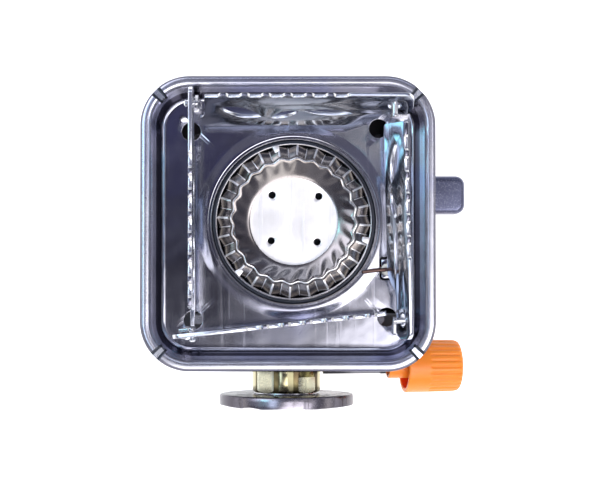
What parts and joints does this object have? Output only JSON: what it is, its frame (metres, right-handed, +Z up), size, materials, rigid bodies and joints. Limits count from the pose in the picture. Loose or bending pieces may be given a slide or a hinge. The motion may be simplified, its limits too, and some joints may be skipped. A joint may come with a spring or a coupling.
{
  "type": "folding butane cassette stove",
  "caption": "Palm-sized square stove burner with folding toothed pot supports and legs, an orange gas knob, a push igniter and a round cartridge flange.",
  "frame": {"origin": "centre of the folded footprint, on the ground", "axes": "+X towards the gas knob, -Y towards the cartridge flange, +Z up"},
  "size_m": [0.1038, 0.1058, 0.082],
  "materials": {
    "tray_steel": "polished",
    "casing_steel": "satin",
    "burner_steel": "brushed",
    "brass": "turned",
    "casting": "cast",
    "rubber": "matte",
    "spring_steel": "bright",
    "blackened": "black oxide",
    "orange_plastic": "satin, moulded",
    "yellow_zinc": "yellow passivated zinc plate",
    "flange_steel": "scuffed",
    "black_plastic": "matte",
    "button_metal": "satin metallic grey",
    "red_plastic": "gloss",
    "lead_sleeve": "matte",
    "electrode_wire": "heat tinted",
    "ceramic": "matte",
    "plate_steel": "polished",
    "hook_steel": "satin"
  },
  "bodies": {
    "housing": {"tray": "tray_steel", "body_shell": "casing_steel", "base_plate": "casing_steel", "burner_cup": "burner_steel", "burner_ring": "burner_steel", "burner_cap": "burner_steel", "mixing_tube": "casing_steel", "gas_jet": "brass", "regulator_body": "casting", "regulator_cover": "casting", "diaphragm": "rubber", "regulator_spring": "spring_steel", "gland_nut": "blackened", "spindle_o_ring": "rubber", "inlet_nut": "yellow_zinc", "inlet_washer": "spring_steel", "collar_flange": "flange_steel", "inlet_seal": "rubber", "actuator_pin": "brass", "piezo_unit": "black_plastic", "igniter_collar": "red_plastic", "ignition_lead": "lead_sleeve", "electrode": "electrode_wire", "electrode_insulator": "ceramic", "electrode_bracket": "tray_steel", "leg_pin_1": "hook_steel", "leg_pin_2": "hook_steel", "leg_pin_3": "hook_steel", "leg_pin_4": "hook_steel", "base_screws": "blackened", "cover_screws": "spring_steel", "tray_rivets": "spring_steel", "leg_washers": "spring_steel"},
    "knob_set": {"gas_knob": "orange_plastic", "valve_spindle": "brass"},
    "button": {"igniter_button": "button_metal"},
    "support_left_set": {"support_left": "plate_steel", "hook_left": "hook_steel"},
    "support_front_set": {"support_front": "plate_steel", "hook_front": "hook_steel"},
    "hook_right_set": {"hook_right": "hook_steel"},
    "support_right_set": {"support_right": "plate_steel"},
    "hook_back_set": {"hook_back": "hook_steel"},
    "support_back_set": {"support_back": "plate_steel"},
    "leg_1_set": {"leg_1": "plate_steel"},
    "leg_2_set": {"leg_2": "plate_steel"},
    "leg_3_set": {"leg_3": "plate_steel"},
    "leg_4_set": {"leg_4": "plate_steel"}
  },
  "joints": [
    {"name": "support_left_swing", "type": "hinge", "parent": "housing", "child": "support_left_set", "pos_m": [-0.03493, 0.04415, 0.065], "axis": [0, 0, -1], "range_deg": [0, 135]},
    {"name": "support_front_swing", "type": "hinge", "parent": "housing", "child": "support_front_set", "pos_m": [-0.03773, -0.02845, 0.065], "axis": [0, 0, -1], "range_deg": [0, 141]},
    {"name": "support_right_swing", "type": "hinge", "parent": "housing", "child": "hook_right_set", "pos_m": [0.02957, -0.02705, 0.065], "axis": [0, 0, -1], "range_deg": [0, 136]},
    {"name": "support_back_swing", "type": "hinge", "parent": "housing", "child": "hook_back_set", "pos_m": [0.03057, 0.04135, 0.065], "axis": [0, 0, -1], "range_deg": [0, 135]},
    {"name": "support_right_lean", "type": "hinge", "parent": "hook_right_set", "child": "support_right_set", "pos_m": [0.02957, -0.02705, 0.0741], "axis": [0.0244, -0.9997, 0], "range_deg": [0, 19]},
    {"name": "support_back_lean", "type": "hinge", "parent": "hook_back_set", "child": "support_back_set", "pos_m": [0.03057, 0.04135, 0.0741], "axis": [1, 0, 0], "range_deg": [0, 26]},
    {"name": "leg_1_swing", "type": "hinge", "parent": "housing", "child": "leg_1_set", "pos_m": [-0.03643, 0.03735, 0.007], "axis": [0, 0, -1], "range_deg": [0, 135]},
    {"name": "leg_2_swing", "type": "hinge", "parent": "housing", "child": "leg_2_set", "pos_m": [-0.03643, -0.02465, 0.007], "axis": [0, 0, -1], "range_deg": [0, 135]},
    {"name": "leg_3_swing", "type": "hinge", "parent": "housing", "child": "leg_3_set", "pos_m": [0.02557, -0.02465, 0.007], "axis": [0, 0, -1], "range_deg": [0, 135]},
    {"name": "leg_4_swing", "type": "hinge", "parent": "housing", "child": "leg_4_set", "pos_m": [0.02557, 0.03735, 0.007], "axis": [0, 0, -1], "range_deg": [0, 135]},
    {"name": "gas_knob_turn", "type": "hinge", "parent": "housing", "child": "knob_set", "pos_m": [0.03267, -0.03965, 0.036], "axis": [0.9877, 0, -0.1564], "range_deg": [0, 300]},
    {"name": "igniter_press", "type": "slide", "parent": "housing", "child": "button", "axis": [-1, 0, 0], "range_m": [0, 0.0045], "stiffness_N_per_m": 600, "springref_m": -0.002}
  ],
  "couplings": [
    {"joint": "support_right_lean", "follows": "support_right_swing", "ratio": 0.13971},
    {"joint": "support_back_lean", "follows": "support_back_swing", "ratio": 0.19259}
  ]
}
